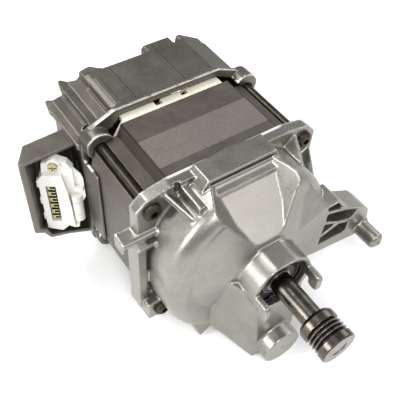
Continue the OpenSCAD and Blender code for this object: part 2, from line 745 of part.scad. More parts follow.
// Waved spring washer that loads the rear bearing
module wave_washer() color(steel) lay_down() {
  ring(rear_seat_r - 0.3, rear_seat_r - 3.4, rear_brg_front - 0.6, rear_brg_front);
  for (a = [0 : 60 : 300]) rotate([0, 0, a])
    translate([rear_seat_r - 1.85, 0, 0]) disc(1.3, rear_brg_front - 1.2, rear_brg_front - 0.5);
}

// The connector is drawn flat, face forward, and then turned into its pocket
pocket_w = pocket_reach - rear_half_w;
block_room = 13.28;
drawn_w = 26.2;
fit_w = (pocket_w - block_room) / cos(connector_turn) / drawn_w;
connector_at = [-rear_half_w - pocket_w * 0.454, (pocket_top - pocket_low) / 2 - 4, -pocket_front + 3.6];
function fitted(outline) = [for (p = outline) [p[0] * fit_w, p[1]]];
module in_pocket() lay_down() translate(connector_at) rotate([0, -connector_turn, 0]) children();
block_t = 6.8;
slot_x = [-8 * fit_w, -2 * fit_w];
slot_y = [-19, 14];
slot_w = slot_x[1] - slot_x[0];
screw_at = [-1.5 * fit_w, 30.5];
module connector_block() color([0.93, 0.92, 0.88]) in_pocket() difference() {
  union() {
    translate([0, 0, -block_t]) linear_extrude(block_t) polygon(fitted([
      [-11.8, -26], [-11.8, 19], [-9, 23], [2.5, 23], [4.5, 10], [5.5, -8], [6, -25], [2, -23],
      [-2.5, -28]
    ]));
    translate([0, 0, -block_t]) linear_extrude(block_t - 2) polygon(fitted([
      [-9.5, 22], [-8.5, 31], [-1, 35], [6, 32], [9, 27], [9, 12], [4, 8]
    ]));
    translate([0, 0, -block_t + 2.8]) linear_extrude(block_t - 6) polygon(fitted([
      [3, 28], [9, 28], [13.4, 22], [14.4, 18], [14.4, 2], [11, -5], [7.5, -28], [5, -29], [4, -10]
    ]));
    translate([screw_at[0], screw_at[1], -block_t]) cylinder(h = block_t - 0.8, r = 4.6);
    translate([9 * fit_w, -18, -3]) rotate([-90, 0, 0]) cylinder(h = 22, r = 3.4 * fit_w);
    for (y = [12, -3, -18]) translate([-13 * fit_w, y, -4]) cube([4, 5.4, 3.2]);
    translate([9 * fit_w, 9, -5]) cube([5 * fit_w, 3.4, 4.6]);
  }
  translate([slot_x[0], slot_y[0], -5.6]) cube([slot_w, slot_y[1] - slot_y[0], 8]);
  translate([screw_at[0], screw_at[1], -block_t - 1]) cylinder(h = block_t + 1.5, r = 1.7);
  for (y = [-12, -1]) translate([8 * fit_w, y, 0.8]) cube([6 * fit_w, 0.8, 3], center = true);
}
terminal_w = slot_w - 1.6;
module connector_terminals() color([0.72, 0.58, 0.30]) in_pocket()
  for (i = [0 : terminal_count - 1])
    translate([slot_x[0] + 0.5, slot_y[0] + (i + 0.5) * (slot_y[1] - slot_y[0]) / terminal_count, -5.6]) {
      for (y = [-1.7, 0.9]) translate([0, y, 0]) cube([terminal_w, 0.8, 4.4]);
      translate([0, -1.7, 0]) cube([terminal_w, 3.4, 0.8]);
      translate([0, -1.7, 3.4]) cube([terminal_w * 0.36, 3.4, 0.9]);
    }
module connector_screw() color([0.72, 0.58, 0.30]) in_pocket()
  translate([screw_at[0], screw_at[1], -0.8]) {
    difference() {
      cylinder(h = 1.6, r = 3);
      for (a = [0, 90]) rotate([0, 0, a]) translate([-2.2, -0.45, 0.8]) cube([4.4, 0.9, 1]);
    }
    translate([0, 0, -block_t + 1]) cylinder(h = block_t - 0.9, r = 1.6);
  }

// Brush gear on both sides of the commutator
comm_front = 168;
comm_rear = comm_front + comm_len;
brush_mid = comm_front + comm_len / 2;
holder_in = comm_d / 2 + 2.2;
holder_out = rear_half_w - wall - 0.2;
brush_len = 22;
spring_end = holder_out - 2;
module holder_box(grow) translate([holder_in, -brush_h / 2 - grow, -brush_mid - brush_w / 2 - grow])
  cube([holder_out - holder_in, brush_h + 2 * grow, brush_w + 2 * grow]);
module brush_holder() difference() {
  holder_box(1.8);
  translate([-2, 0, 0]) holder_box(0.25);
}
module brush_holder_right() color([0.30, 0.27, 0.24]) lay_down() brush_holder();
module brush_holder_left() color([0.30, 0.27, 0.24]) lay_down() mirror([1, 0, 0]) brush_holder();

module carbon_brush() difference() {
  translate([comm_d / 2 - 1, -brush_h / 2, -brush_mid - brush_w / 2])
    cube([brush_len + 1, brush_h, brush_w]);
  disc(comm_d / 2 + run_gap, comm_front - 5, comm_rear + 5);
}
module brush_right() color([0.16, 0.16, 0.17]) lay_down() carbon_brush();
module brush_left() color([0.16, 0.16, 0.17]) lay_down() mirror([1, 0, 0]) carbon_brush();

// Brush spring wound as one wire, swept along a helix
spring_r = 2.3;
spring_wire = 0.35;
spring_turns = 7;
spring_sides = 6;
spring_steps = spring_turns * 8;
spring_from = comm_d / 2 + brush_len + 0.4;
function helix_at(t) = [
  spring_from + spring_wire + (spring_end - spring_from - 2 * spring_wire) * t,
  spring_r * cos(360 * spring_turns * t), spring_r * sin(360 * spring_turns * t)
];
function helix_ring(t) = let (a = 360 * spring_turns * t, c = helix_at(t))
  [for (k = [0 : spring_sides - 1]) let (b = 360 * k / spring_sides)
    c + spring_wire * [sin(b), cos(b) * cos(a), cos(b) * sin(a)]];
spring_points = [for (s = [0 : spring_steps]) each helix_ring(s / spring_steps)];
function spring_quad(s, k) = let (n = (k + 1) % spring_sides, r = s * spring_sides)
  [[r + k, r + n, r + spring_sides + n], [r + k, r + spring_sides + n, r + spring_sides + k]];
spring_faces = concat(
  [[for (k = [spring_sides - 1 : -1 : 0]) k]],
  [for (s = [0 : spring_steps - 1]) for (k = [0 : spring_sides - 1]) each spring_quad(s, k)],
  [[for (k = [0 : spring_sides - 1]) spring_steps * spring_sides + k]]
);
module brush_spring() translate([0, 0, -brush_mid])
  polyhedron(points = spring_points, faces = spring_faces);
module brush_spring_right() color(steel) lay_down() brush_spring();
module brush_spring_left() color(steel) lay_down() mirror([1, 0, 0]) brush_spring();

// Speed sensor at the back end of the shaft
magnet_front = 206;
magnet_len = 8;
magnet_r = 8;
module tacho_magnet() color([0.18, 0.18, 0.20]) lay_down()
  ring(magnet_r, 4 + snug, magnet_front, magnet_front + magnet_len);
module tacho_coil() color([0.85, 0.84, 0.78]) lay_down()
  ring(16, magnet_r + 1, magnet_front - 0.8, magnet_front + magnet_len);
module tacho_cap() color([0.15, 0.15, 0.15]) lay_down() difference() {
  disc(rear_seat_r + 4, rear_end + 6, magnet_front + magnet_len + 4);
  disc(16.1, rear_end + 5, magnet_front + magnet_len + 1.6);
}

shoulder_d = 17;
module rotor_shaft() color(steel) lay_down() {
  disc(4.9, 0.4, pulley_len + 0.1);
  disc(shaft_d / 2, pulley_len, bearing_front);
  disc(front_brg_bore / 2, bearing_front - 0.8, bearing_back + 0.1);
  disc(shoulder_d / 2, bearing_back, rear_brg_front);
  disc(rear_brg_bore / 2, rear_brg_front - 0.1, rear_brg_back + 2);
  disc(4, rear_brg_back, magnet_front + magnet_len + 0.8);
}

// Belt pulley with V grooves turned into it, and a centre mark in its face
groove_depth = 1.9;
module belt_pulley() color(steel) lay_down() difference() {
  rotate_extrude($fn = 96) polygon([
    [4.9 + snug, -pulley_len], [4.9 + snug, 0], [pulley_d / 2 - 0.6, 0], [pulley_d / 2, -0.6],
    for (i = [0 : groove_count - 1]) each let (z = -front_collar - i * groove_pitch) [
      [pulley_d / 2, z], [pulley_d / 2 - groove_depth, z - groove_pitch / 2 + 0.15],
      [pulley_d / 2 - groove_depth, z - groove_pitch / 2 - 0.15],
      [pulley_d / 2, z - groove_pitch]
    ],
    [pulley_d / 2, -pulley_len + 2], [pulley_d / 2 - 1.6, -pulley_len]
  ]);
}

rotor_r = bore_d / 2 - air_gap;
rotor_front = stack_front + 1;
rotor_rear = stack_rear - 1;
module rotor_slot() translate([rotor_r - 10, -2.2]) square([8.6, 4.4]);
module rotor_core() color([0.35, 0.33, 0.30]) lay_down() slab(rotor_front, rotor_rear)
  difference() {
    circle(r = rotor_r);
    circle(r = shoulder_d / 2 + snug);
    for (i = [0 : rotor_slots - 1]) rotate(i * 360 / rotor_slots) {
      rotor_slot();
      translate([rotor_r - 3, -0.8]) square([5, 1.6]);
    }
  }
module rotor_windings() color(copper) lay_down() {
  for (i = [0 : rotor_slots - 1]) rotate([0, 0, i * 360 / rotor_slots])
    slab(rotor_front - 2, rotor_rear + 2) translate([rotor_r - 9.8, -2]) square([8.2, 4]);
  ring(rotor_r - 1.4, shoulder_d / 2 + 2, rotor_front - 9, rotor_front - 1);
  ring(rotor_r - 1.4, shoulder_d / 2 + 2, rotor_rear + 1, rotor_rear + 9);
}

module commutator() color([0.70, 0.42, 0.22]) lay_down() slab(comm_front, comm_rear)
  difference() {
    circle(d = comm_d);
    circle(r = shoulder_d / 2 + snug);
    for (i = [0 : comm_bars - 1]) rotate(i * 360 / comm_bars)
      translate([comm_d / 2 - 1.6, -0.3]) square([3, 0.6]);
  }

// Fan behind the drive end bearing, a cone with flat blades
fan_front = 78;
fan_back = 89;
module cooling_fan() color([0.20, 0.20, 0.22]) lay_down() difference() {
  union() {
    disc(14, fan_front, fan_back);
    disc(fan_d / 2, fan_back - 2, fan_back);
    for (i = [0 : fan_blades - 1]) rotate([0, 0, i * 360 / fan_blades])
      translate([12, -0.8, 0]) side_blade();
  }
  disc(shoulder_d / 2 + snug, fan_front - cut, fan_back + cut);
}
module side_blade() rotate([90, 0, 0]) translate([0, 0, -1.6]) linear_extrude(1.6) polygon([
  [0, -fan_back + 1], [fan_d / 2 - 13, -fan_back + 1], [fan_d / 2 - 18, -fan_front - 1], [0, -fan_front - 1]
]);

drive_end_shield();
rear_end_shield();
stator_core();
field_coil_upper();
field_coil_lower();
coil_insulation();
through_bolts();
bearing_circlip();
front_bearing_outer();
front_bearing_inner();
front_bearing_balls();
rear_bearing_outer();
rear_bearing_inner();
rear_bearing_balls();
bearing_seals();
wave_washer();
connector_block();
connector_terminals();
connector_screw();
brush_holder_left();
brush_holder_right();
brush_left();
brush_right();
brush_spring_left();
brush_spring_right();
tacho_coil();
tacho_cap();
rotor_shaft();
belt_pulley();
rotor_core();
rotor_windings();
commutator();
cooling_fan();
tacho_magnet();
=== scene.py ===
import json
import math

import bmesh
import bpy
from mathutils import Matrix, Vector


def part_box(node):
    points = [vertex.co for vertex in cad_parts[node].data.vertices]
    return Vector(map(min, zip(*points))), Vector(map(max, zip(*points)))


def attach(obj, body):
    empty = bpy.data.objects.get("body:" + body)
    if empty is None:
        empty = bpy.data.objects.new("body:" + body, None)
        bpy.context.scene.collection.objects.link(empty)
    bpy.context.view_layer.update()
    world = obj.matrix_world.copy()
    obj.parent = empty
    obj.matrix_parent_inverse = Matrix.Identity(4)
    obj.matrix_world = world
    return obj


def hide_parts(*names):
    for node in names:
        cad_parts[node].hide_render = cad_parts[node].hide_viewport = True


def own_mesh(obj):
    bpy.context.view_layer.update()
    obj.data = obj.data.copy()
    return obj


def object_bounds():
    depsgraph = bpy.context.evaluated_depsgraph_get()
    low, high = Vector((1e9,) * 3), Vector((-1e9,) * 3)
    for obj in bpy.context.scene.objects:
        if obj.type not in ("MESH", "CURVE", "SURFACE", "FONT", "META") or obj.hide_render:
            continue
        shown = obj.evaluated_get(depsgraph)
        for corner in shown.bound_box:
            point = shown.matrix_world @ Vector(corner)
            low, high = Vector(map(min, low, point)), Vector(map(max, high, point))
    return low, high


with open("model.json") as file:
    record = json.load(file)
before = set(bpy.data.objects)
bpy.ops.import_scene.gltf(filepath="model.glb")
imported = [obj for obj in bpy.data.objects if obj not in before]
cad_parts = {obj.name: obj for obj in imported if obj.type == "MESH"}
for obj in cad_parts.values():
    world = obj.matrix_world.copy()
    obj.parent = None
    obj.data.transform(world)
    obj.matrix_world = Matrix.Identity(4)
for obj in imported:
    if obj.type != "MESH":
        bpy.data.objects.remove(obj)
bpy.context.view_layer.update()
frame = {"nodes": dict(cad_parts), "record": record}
nodes = frame["nodes"]

MM = 0.001


# ---------------------------------------------- places that the paint refers to

def points(node):
    return [vertex.co for vertex in nodes[node].data.vertices]


STACK_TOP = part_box("stator_core")[1].z
TOP_HALF_WIDTH = max(at.x for at in points("stator_core") if at.z > STACK_TOP - 0.2 * MM)
HOOD_RIM = max(at.y for at in points("drive_end_shield") if at.z > STACK_TOP)
REAR_RIM = min(at.y for at in points("rear_end_shield") if at.z > STACK_TOP)
LUG_RIM = min(at.y for at in points("rear_end_shield")
              if -56 * MM < at.x < -40 * MM and at.z > 38 * MM)

BAND_START = (114.8 * MM, 115.2 * MM)  # the paler band on top of the sheet stack, along y
BAND_END = (137.4 * MM, 137.9 * MM)
SEAM_MIDDLE = -4 * MM  # the two part lines on top of the rear casting, along x
SEAM_HALF_GAP = 16.5 * MM


# ---------------------------------------------------------------- shader maths

class Field:
    """One output of a material's nodes. Arithmetic on it adds Math nodes."""

    def __init__(self, paint, socket):
        self.paint, self.socket = paint, socket

    def maths(self, operation, a, b=0.0):
        return self.paint.node("ShaderNodeMath", {"operation": operation}, {0: a, 1: b})

    def __add__(self, other):
        return self.maths("ADD", self, other)

    def __radd__(self, other):
        return self.maths("ADD", other, self)

    def __sub__(self, other):
        return self.maths("SUBTRACT", self, other)

    def __rsub__(self, other):
        return self.maths("SUBTRACT", other, self)

    def __mul__(self, other):
        return self.maths("MULTIPLY", self, other)

    def __rmul__(self, other):
        return self.maths("MULTIPLY", other, self)

    def most(self, other):
        return self.maths("MAXIMUM", self, other)

    def size(self):
        return self.maths("ABSOLUTE", self)


class Paint:
    """A material made of nodes."""

    def __init__(self, name):
        self.material = bpy.data.materials.new(name)
        self.material.use_nodes = True
        self.tree = self.material.node_tree
        self.tree.nodes.clear()
        self.place = self.node("ShaderNodeTexCoord", {}, {}, "Object")
        self.normal = self.node("ShaderNodeNewGeometry", {}, {}, "Normal")

    def node(self, kind, settings, sockets, out=0):
        """Adds a node: its settings first, then the values and links of its sockets."""
        made = self.tree.nodes.new(kind)
        for name, value in settings.items():
            setattr(made, name, value)
        for name, value in sockets.items():
            if isinstance(value, Field):
                self.tree.links.new(value.socket, made.inputs[name])
            else:
                made.inputs[name].default_value = value
        return Field(self, made.outputs[out])

    def stretched(self, scale):
        """The place on the surface with each axis scaled on its own."""
        return self.node("ShaderNodeVectorMath", {"operation": "MULTIPLY"},
                         {0: self.place, 1: scale})

    def noise(self, scale, detail=2.0, rough=0.5, at=None):
        return self.node("ShaderNodeTexNoise", {}, {
            "Vector": at or self.place, "Scale": scale, "Detail": detail, "Roughness": rough})

    def specks(self, scale):
        """The distance to the nearest of many strewn points."""
        return self.node("ShaderNodeTexVoronoi", {}, {"Vector": self.place, "Scale": scale})

    def part(self, axis):
        """One coordinate of the place on the surface."""
        return self.node("ShaderNodeSeparateXYZ", {}, {0: self.place}, axis)

    def facing(self, axis):
        """How far the surface faces along an axis, from -1 to 1."""
        return self.node("ShaderNodeSeparateXYZ", {}, {0: self.normal}, axis)

    def step(self, value, low, high):
        """0 below low, 1 above high and smooth between them."""
        return self.node("ShaderNodeMapRange", {"interpolation_type": "SMOOTHSTEP"}, {
            "Value": value, "From Min": low, "From Max": high})

    def stripe(self, value, at, inner, outer):
        """1 where value is within inner of at, 0 where it is further off than outer."""
        return 1 - self.step((value - at).size(), inner, outer)

    def mix(self, share, a, b):
        a, b = [(*c, 1) if isinstance(c, tuple) else c for c in (a, b)]
        return self.node("ShaderNodeMix", {"data_type": "RGBA"}, {0: share, 6: a, 7: b}, 2)

    def outer_edge(self, reach):
        """1 close to an edge that stands out, 0 away from it."""
        hidden = self.node("ShaderNodeAmbientOcclusion",
                           {"samples": 6, "inside": True, "only_local": True},
                           {"Distance": reach}, "AO")
        return self.step(1 - hidden, 0.16, 0.5)

    def corner(self, reach):
        """1 in an inner corner or a narrow gap, 0 in the open."""
        open_sky = self.node("ShaderNodeAmbientOcclusion", {"samples": 6},
                             {"Distance": reach}, "AO")
        return self.step(1 - open_sky, 0.3, 0.85)

    def rounded(self, radius):
        """The surface's direction with its edges softened."""
        return self.node("ShaderNodeBevel", {"samples": 5}, {"Radius": radius})

    def bump(self, height, depth, normal, strength=1.0):
        return self.node("ShaderNodeBump", {}, {
            "Strength": strength, "Distance": depth, "Height": height, "Normal": normal})

    def finish(self, colour, rough, normal, metal=0.0, **more):
        sockets = {"Base Color": (*colour, 1) if isinstance(colour, tuple) else colour,
                   "Roughness": rough, "Metallic": metal, "Normal": normal, **more}
        shader = self.node("ShaderNodeBsdfPrincipled", {}, sockets)
        last = self.tree.nodes.new("ShaderNodeOutputMaterial")
        self.tree.links.new(shader.socket, last.inputs["Surface"])
        return self.material


def times(share, colour):
    return tuple(min(1, share * c) for c in colour)


# ------------------------------------------------------------------- materials

SCRAPED_METAL_AND_HIGHLIGHT = (0.9, 0.89, 0.86)
TURNED_FACE = (0.3, 0.285, 0.255)
POLISHED_EDGE_AND_HIGHLIGHT = (0.86, 0.85, 0.82)
PALE_BAND_TONE = (0.22, 0.202, 0.175)
UPPER_FLANK_DARK = (0.045, 0.038, 0.026)
PLASTIC_GRIME_AND_SHADE = (0.35, 0.32, 0.26)


def casting(name, deep, plain, bright, rough, rims, rim_scrape_and_highlight, edge_wear_and_highlight,
            tint=None, seams=False, left_side_shade=0.0):
    """Die-cast aluminium: fine grain, soft mottling, edges lightened by wear and a painted
    highlight, painted shade in the corners.

    rims are the places along y whose upward-facing outer edges are painted pale, as rubbed bare
    metal and a painted highlight; the next two arguments are how strongly the rims and the
    other edges shine, the other edges from wear and a painted highlight;
    tint is a second tone in patches, and the last argument is how much painted shade
    darkens the sides that face left.
    """
    p = Paint(name)
    mottle = p.noise(95, 4, 0.6)
    cloud = p.noise(26, 2, 0.5)
    grain = p.noise(2600, 2, 0.6)
    sparkle = p.noise(1150, 2, 0.75)
    pit = p.step(p.specks(620), 0.0, 0.16)
    corner = p.corner(7 * MM)
    edge = p.outer_edge(1.1 * MM) * p.step(p.noise(420, 3, 0.7), 0.25, 0.62) * (1 - corner)
    along = p.part("Y")

    tone = mottle * 0.5 + (cloud - 0.5) * 0.5 + 0.125
    tone = tone + (grain - 0.5) * 0.5 + (sparkle - 0.5) * 0.75 + 0.1
    colour = p.mix(p.step(tone, 0.2, 0.72), deep, plain)
    if tint:
        patches = p.step(p.noise(45, 3, 0.6), 0.45, 0.7)
        colour = p.mix(patches * 0.6, colour, tint)
    colour = p.mix((1 - pit) * 0.35, colour, times(0.45, deep))
    # painted shade: inner corners and narrow gaps are darkened
    colour = p.mix(corner * 0.5, colour, times(0.45, deep))
    # painted shade: the sides that face left are darkened
    if left_side_shade:
        facing_left = p.step(0 - p.facing("X"), 0.1, 0.6)
        colour = p.mix(facing_left * left_side_shade, colour, times(0.4, deep))
    if seams:
        seam = p.stripe((p.part("X") - SEAM_MIDDLE).size(), SEAM_HALF_GAP, 0.12 * MM, 0.3 * MM)
        seam = seam * p.step(p.facing("Z"), 0.8, 0.95)
        seam = seam * p.step(along - rims[0], 4 * MM, 5 * MM)
        colour = p.mix(seam * 0.8, colour, times(0.3, deep))
    # outer edges lightened: wear, and a painted highlight
    colour = p.mix(edge * edge_wear_and_highlight, colour, bright)

    # the rims' upward-facing outer edges are painted pale: rubbed bare metal, and a painted
    # highlight
    near_rim = p.stripe(along, rims[0], 1.6 * MM, 2.6 * MM)
    for rim in rims[1:]:
        near_rim = near_rim.most(p.stripe(along, rim, 2.6 * MM, 3.6 * MM))
    ragged = (p.noise(380, 3, 0.75) - 0.5) * 1.1
    scraped_and_lit_rim = near_rim * p.step(p.outer_edge(2.4 * MM) + ragged, 0.3, 0.55)
    scraped_and_lit_rim = scraped_and_lit_rim * p.step(p.facing("Z"), 0.2, 0.6) * rim_scrape_and_highlight
    colour = p.mix(scraped_and_lit_rim, colour, SCRAPED_METAL_AND_HIGHLIGHT)

    roughness = rough + (mottle - 0.5) * 0.22 + (sparkle - 0.5) * 0.24
    roughness = roughness + corner * 0.12 - edge * 0.1
    surface = p.bump(grain * 0.35 + sparkle * 0.65, 0.035 * MM, p.rounded(0.5 * MM), 0.9)
    surface = p.bump(mottle, 0.22 * MM, surface, 0.35)
    return p.finish(colour, roughness, surface, 0.9 - scraped_and_lit_rim * 0.6)


def laminated(name, dark, light):
    """Stacked sheet edges under a thin dark varnish, with a paler band across the top, darker
    steep sides just below it, painted shade in inner corners and a painted highlight on outer
    edges.
    """
    p = Paint(name)
    along, height = p.part("Y"), p.part("Z")
    sheets = p.noise(1.0, 2, 0.6, p.stretched((90, 1700, 90)))
    blotch = p.noise(70, 4, 0.6)
    grain = p.noise(1500, 2, 0.6)
    dots = p.step(p.noise(1300, 2, 0.7), 0.35, 0.65)
    edge = p.outer_edge(0.8 * MM)
    corner = p.corner(6 * MM)

    on_top = p.step(height, STACK_TOP - 0.6 * MM, STACK_TOP - 0.3 * MM)
    band = p.step(along, *BAND_START) * (1 - p.step(along, *BAND_END)) * on_top
    flank = p.step(height, STACK_TOP - 9 * MM, STACK_TOP - 7.8 * MM) * (1 - on_top)
    flank = flank * p.step(p.facing("X").size(), 0.7, 0.85)
    border = p.stripe(p.part("X").size(), TOP_HALF_WIDTH, 0.25 * MM, 0.7 * MM)
    border = border * p.step(height, STACK_TOP - 1.2 * MM, STACK_TOP - 0.8 * MM)

    tone = sheets * 0.16 + blotch * 0.42 + grain * 0.42
    colour = p.mix(p.step(tone, 0.3, 0.7), dark, light)
    # a paler band across the top of the stack
    colour = p.mix(band * (dots * 0.35 + 0.55), colour, PALE_BAND_TONE)
    # the steep sides in the upper part of the stack are darkened
    colour = p.mix(flank * 0.75, colour, UPPER_FLANK_DARK)
    # painted shade: inner corners are darkened
    colour = p.mix(corner * 0.6, colour, times(0.35, dark))
    # painted highlight: outer edges are lightened
    colour = p.mix(edge * 0.5, colour, times(1.6, light))
    colour = p.mix(border * 0.85, colour, times(0.2, dark))
    roughness = 0.5 + (blotch - 0.5) * 0.25 - edge * 0.12
    surface = p.bump(sheets, 0.03 * MM, p.rounded(0.3 * MM), 0.45)
    surface = p.bump(grain, 0.02 * MM, surface, 0.5)
    return p.finish(colour, roughness, surface, 0.55)


def turned(name, deep, bright, rough, shade=2.5 * MM, ends=0.6):
    """Metal straight from the lathe: fine rings round the shaft's axis, painted shade in gaps
    and polished edges with a painted highlight.

    shade is how far out of a gap the painted shade reaches, and ends is how much paler the
    front faces are.
    """
    p = Paint(name)
    rings = p.noise(1.0, 3, 0.7, p.stretched((60, 2600, 60)))
    fine = p.noise(1.0, 1, 0.5, p.stretched((200, 9000, 200)))
    wear = p.noise(160, 4, 0.65)
    corner = p.corner(shade)
    edge = p.outer_edge(0.5 * MM) * (1 - corner)
    end_face = p.step(0 - p.facing("Y"), 0.93, 0.98)

    colour = p.mix(p.step(rings * 0.25 + wear * 0.75, 0.2, 0.8), deep, bright)
    # painted shade: gaps and inner corners are darkened
    colour = p.mix(corner * 0.8, colour, times(0.16, deep))
    colour = p.mix(end_face * ends, colour, TURNED_FACE)
    # outer edges lightened: polish, and a painted highlight
    colour = p.mix(edge * 0.6, colour, POLISHED_EDGE_AND_HIGHLIGHT)
    roughness = rough + (wear - 0.5) * 0.12 + corner * 0.2 + end_face * 0.1
    surface = p.bump(rings * 0.5 + fine * 0.5, 0.006 * MM, p.rounded(0.25 * MM), 0.6)
    return p.finish(colour, roughness, surface, 1.0)


def plain_metal(name, deep, bright, rough):
    """Pressed or headed metal with a thin oxide, painted shade in inner corners and polished
    edges with a painted highlight.
    """
    p = Paint(name)
    blotch = p.noise(240, 4, 0.65)
    grain = p.noise(2200, 2, 0.5)
    edge = p.outer_edge(0.5 * MM)
    corner = p.corner(3 * MM)
    colour = p.mix(p.step(blotch * 0.7 + grain * 0.3, 0.3, 0.7), deep, bright)
    # painted shade: inner corners are darkened
    colour = p.mix(corner * 0.6, colour, times(0.3, deep))
    # outer edges lightened: polish, and a painted highlight
    colour = p.mix(edge * 0.65, colour, times(1.7, bright))
    roughness = rough + (blotch - 0.5) * 0.25 - edge * 0.08
    surface = p.bump(grain, 0.02 * MM, p.rounded(0.3 * MM), 0.6)
    return p.finish(colour, roughness, surface, 1.0)


def moulded(name, deep, plain, rough=0.42, grime_and_shade=0.45, **more):
    """Injection-moulded plastic: faint mottling, a fine sparked texture, corners darkened by
    grime and painted shade, outer edges with a painted highlight.
    """
    p = Paint(name)
    cloud = p.noise(60, 3, 0.5)
    spark = p.noise(1900, 2, 0.6)
    corner = p.corner(3.5 * MM)
    edge = p.outer_edge(0.6 * MM)
    colour = p.mix(p.step(cloud * 0.8 + spark * 0.2, 0.3, 0.7), deep, plain)
    # corners darkened: grime, and painted shade
    colour = p.mix(corner * grime_and_shade, colour, PLASTIC_GRIME_AND_SHADE)
    # painted highlight: outer edges are lightened
    colour = p.mix(edge * 0.3, colour, tuple(min(1, 1.15 * c + 0.02) for c in plain))
    roughness = rough + (cloud - 0.5) * 0.16 + corner * 0.2
    surface = p.bump(spark, 0.02 * MM, p.rounded(0.3 * MM), 0.6)
    return p.finish(colour, roughness, surface, **more)


def wound(name, deep, bright):
    """Enamelled wire laid side by side: ridges across the winding, lacquered, with painted
    shade in inner corners.
    """
    p = Paint(name)
    wires = p.node("ShaderNodeTexWave", {"wave_type": "RINGS", "rings_direction": "Y"}, {
        "Vector": p.place, "Scale": 290, "Distortion": 1.2, "Detail": 2, "Detail Scale": 0.4})
    stray = p.noise(400, 3, 0.6)
    corner = p.corner(3 * MM)
    colour = p.mix(p.step(wires * 0.7 + stray * 0.3, 0.2, 0.8), deep, bright)
    # painted shade: inner corners are darkened
    colour = p.mix(corner * 0.5, colour, times(0.3, deep))
    roughness = 0.3 + (stray - 0.5) * 0.25
    surface = p.bump(wires, 0.12 * MM, p.rounded(0.4 * MM), 0.7)
    return p.finish(colour, roughness, surface, 0.7, **{"Coat Weight": 0.35})


FINISHES = {
    "front_casting": casting(
        "cast_front", (0.225, 0.213, 0.188), (0.335, 0.321, 0.288), (0.92, 0.91, 0.87),
        rough=0.36, rims=(HOOD_RIM,), rim_scrape_and_highlight=0.8, edge_wear_and_highlight=0.9),
    "rear_casting": casting(
        "cast_rear", (0.146, 0.133, 0.113), (0.224, 0.207, 0.178), (0.86, 0.85, 0.81),
        rough=0.44, rims=(REAR_RIM, LUG_RIM), rim_scrape_and_highlight=0.95, edge_wear_and_highlight=0.45,
        tint=(0.165, 0.162, 0.132), seams=True, left_side_shade=0.45),
    "laminations": laminated(
        "lamination_stack", (0.077, 0.068, 0.054), (0.128, 0.114, 0.095)),
    "copper_winding": wound(
        "enamelled_copper", (0.22, 0.07, 0.025), (0.62, 0.27, 0.1)),
    "cream_insulation": moulded(
        "cream_moulding", (0.74, 0.7, 0.56), (0.86, 0.83, 0.72)),
    "dark_steel": plain_metal(
        "blackened_steel", (0.042, 0.035, 0.026), (0.085, 0.075, 0.058), 0.42),
    # the bearing's colours are very dark: oil, and painted shade for the deep inside of the hub
    "bearing_steel": turned(
        "ground_ring_steel", (0.04, 0.037, 0.033), (0.085, 0.08, 0.072), 0.36,
        shade=9 * MM, ends=0),
    "black_rubber": moulded(
        "seal_rubber", (0.012, 0.012, 0.012), (0.028, 0.027, 0.026), 0.75,
        grime_and_shade=0.03, **{"Specular IOR Level": 0.2}),
    "white_plastic": moulded(
        "white_moulding", (0.66, 0.65, 0.61), (0.78, 0.77, 0.73), 0.36),
    "brass": plain_metal(
        "brass_terminals", (0.24, 0.21, 0.11), (0.5, 0.46, 0.27), 0.32),
    "dark_plastic": moulded(
        "dark_moulding", (0.03, 0.029, 0.027), (0.075, 0.072, 0.068), 0.45),
    "carbon": moulded(
        "carbon_block", (0.02, 0.02, 0.02), (0.06, 0.06, 0.06), 0.4),
    "spring_steel": turned(
        "spring_wire", (0.3, 0.3, 0.3), (0.55, 0.55, 0.55), 0.25),
    "turned_steel": turned(
        "turned_steel", (0.042, 0.037, 0.031), (0.145, 0.132, 0.113), 0.28, ends=0.75),
    "commutator_copper": turned(
        "commutator_copper", (0.42, 0.2, 0.1), (0.7, 0.4, 0.22), 0.24),
    "magnet": moulded(
        "ring_magnet", (0.03, 0.03, 0.032), (0.08, 0.08, 0.085), 0.38),
}

slot_of = {row["node"]: row["material_slot"] for row in frame["record"]["subparts"]}
for name, piece in nodes.items():
    piece.data.materials.clear()
    piece.data.materials.append(FINISHES[slot_of[name]])


# ---------------------------------------------------------------- the castings

def as_cast(piece, cell):
    """Rounds a casting's edges and inner corners the way a die leaves them."""
    weld = piece.modifiers.new("weld", "WELD")
    weld.merge_threshold = 0.002 * MM
    skin = piece.modifiers.new("even_skin", "REMESH")
    skin.mode = "VOXEL"
    skin.voxel_size = cell
    skin.use_smooth_shade = True
    soft = piece.modifiers.new("soft_edges", "SMOOTH")
    soft.factor = 0.5
    soft.iterations = 3


as_cast(nodes["drive_end_shield"], 0.6 * MM)
as_cast(nodes["rear_end_shield"], 0.45 * MM)


# ------------------------------------------------------------ speed sensor cover

def solid_of_rings(name, rings, slot, replaced):
    """A closed skin through rings of points, each ring as long as the first.

    It takes the place of one of the frame's nodes.
    """
    shape = bmesh.new()
    loops = [[shape.verts.new(point) for point in ring] for ring in rings]
    count = len(loops[0])
    for one, two in zip(loops, loops[1:]):
        for i in range(count):
            k = (i + 1) % count
            shape.faces.new((one[i], one[k], two[k], two[i]))
    shape.faces.new(loops[0][::-1])
    shape.faces.new(loops[-1])
    bmesh.ops.recalc_face_normals(shape, faces=shape.faces)
    mesh = bpy.data.meshes.new(name)
    shape.to_mesh(mesh)
    shape.free()
    mesh.materials.append(FINISHES[slot])
    piece = bpy.data.objects.new(name, mesh)
    bpy.context.scene.collection.objects.link(piece)
    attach(piece, "motor_frame")
    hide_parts(replaced)
    return piece


